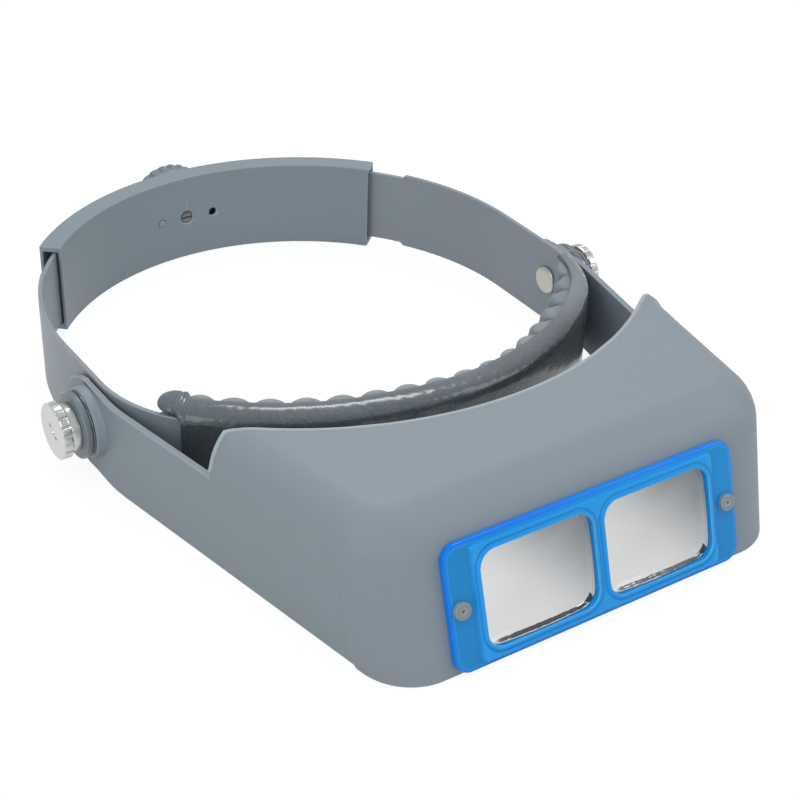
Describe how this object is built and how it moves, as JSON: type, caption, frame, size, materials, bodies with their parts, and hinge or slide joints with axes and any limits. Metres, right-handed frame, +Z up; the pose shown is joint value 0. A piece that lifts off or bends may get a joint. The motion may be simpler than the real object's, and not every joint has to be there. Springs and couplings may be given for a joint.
{
  "type": "headband magnifier",
  "caption": "Tilting hood with a blue twin-lens plate on a padded, knob-adjusted grey head strap, worn to magnify close work.",
  "frame": {"origin": "middle of the whole object's box, on the flat surface that it stands on", "axes": "+X to the right as seen from in front of the lenses, +Y to the back of the head, +Z up; the lenses face -Y; left and right in names are as seen from in front"},
  "size_m": [0.212, 0.2766, 0.0474],
  "materials": {
    "grey_plastic": "satin",
    "visor_plastic": "satin",
    "pad_foam": "matte",
    "cover_vinyl": "satin",
    "blue_plastic": "gloss",
    "lens_glass": "polished",
    "nickel": "polished",
    "steel": "gloss",
    "grey_nylon": "satin",
    "light_nylon": "satin",
    "dark_rubber": "matte"
  },
  "bodies": {
    "head_band": {"front_band": "grey_plastic", "sweatband_pad": "pad_foam", "sweatband_cover": "cover_vinyl", "left_pivot_bolt": "steel", "right_pivot_bolt": "steel", "left_inner_washer": "grey_nylon", "right_inner_washer": "grey_nylon"},
    "visor": {"visor": "visor_plastic", "lens_frame": "blue_plastic", "left_lens": "lens_glass", "right_lens": "lens_glass", "left_lens_button": "grey_nylon", "right_lens_button": "grey_nylon", "left_button_keeper": "grey_nylon", "right_button_keeper": "grey_nylon"},
    "left_washers": {"left_spring_washer": "nickel", "left_plastic_washer": "grey_nylon"},
    "left_nut": {"left_thumb_nut": "nickel"},
    "right_washers": {"right_spring_washer": "nickel", "right_plastic_washer": "grey_nylon"},
    "right_nut": {"right_thumb_nut": "nickel"},
    "rear_cover": {"rear_cover": "grey_plastic", "guide_pin": "grey_nylon", "knob_bush": "light_nylon", "knob_brake_ring": "dark_rubber"},
    "size_knob": {"size_knob": "grey_plastic", "size_pinion": "light_nylon", "knob_screw": "steel"},
    "left_side_strap": {"left_side_strap": "grey_plastic"},
    "right_side_strap": {"right_side_strap": "grey_plastic"}
  },
  "joints": [
    {"name": "visor_tilt", "type": "hinge", "parent": "head_band", "child": "visor", "pos_m": [0, 0.0079, 0.018], "axis": [-1, 0, 0], "range_deg": [-12, 80]},
    {"name": "left_washer_slide", "type": "slide", "parent": "head_band", "child": "left_washers", "axis": [-1, 0, 0], "range_m": [0, 0.0007]},
    {"name": "left_nut_turn", "type": "hinge", "parent": "left_washers", "child": "left_nut", "pos_m": [-0.1038, 0.0079, 0.018], "axis": [-1, 0, 0], "range_deg": [0, 360]},
    {"name": "right_washer_slide", "type": "slide", "parent": "head_band", "child": "right_washers", "axis": [1, 0, 0], "range_m": [0, 0.0007]},
    {"name": "right_nut_turn", "type": "hinge", "parent": "right_washers", "child": "right_nut", "pos_m": [0.1038, 0.0079, 0.018], "axis": [1, 0, 0], "range_deg": [0, 360]},
    {"name": "size_adjust", "type": "slide", "parent": "head_band", "child": "rear_cover", "axis": [0, -1, 0], "range_m": [-0.01, 0.011]},
    {"name": "left_strap_flex", "type": "hinge", "parent": "head_band", "child": "left_side_strap", "pos_m": [-0.08955, 0.0339, 0.0167], "axis": [0, 0, 1], "range_deg": [-7.06, 6.42]},
    {"name": "right_strap_flex", "type": "hinge", "parent": "head_band", "child": "right_side_strap", "pos_m": [0.08955, 0.03625, 0.0167], "axis": [0, 0, 1], "range_deg": [-6.42, 7.06]},
    {"name": "knob_turn", "type": "hinge", "parent": "rear_cover", "child": "size_knob", "pos_m": [0, 0.1286, 0.0167], "axis": [0, 1, 0], "range_deg": [-114.61, 126.07]}
  ],
  "couplings": [
    {"joint": "left_washer_slide", "follows": "left_nut_turn", "m_per_rad": 0.0001114},
    {"joint": "right_washer_slide", "follows": "right_nut_turn", "m_per_rad": 0.0001114},
    {"joint": "left_strap_flex", "follows": "size_adjust", "rad_per_m": -11.167},
    {"joint": "right_strap_flex", "follows": "size_adjust", "rad_per_m": 11.167},
    {"joint": "knob_turn", "follows": "size_adjust", "rad_per_m": 200}
  ]
}
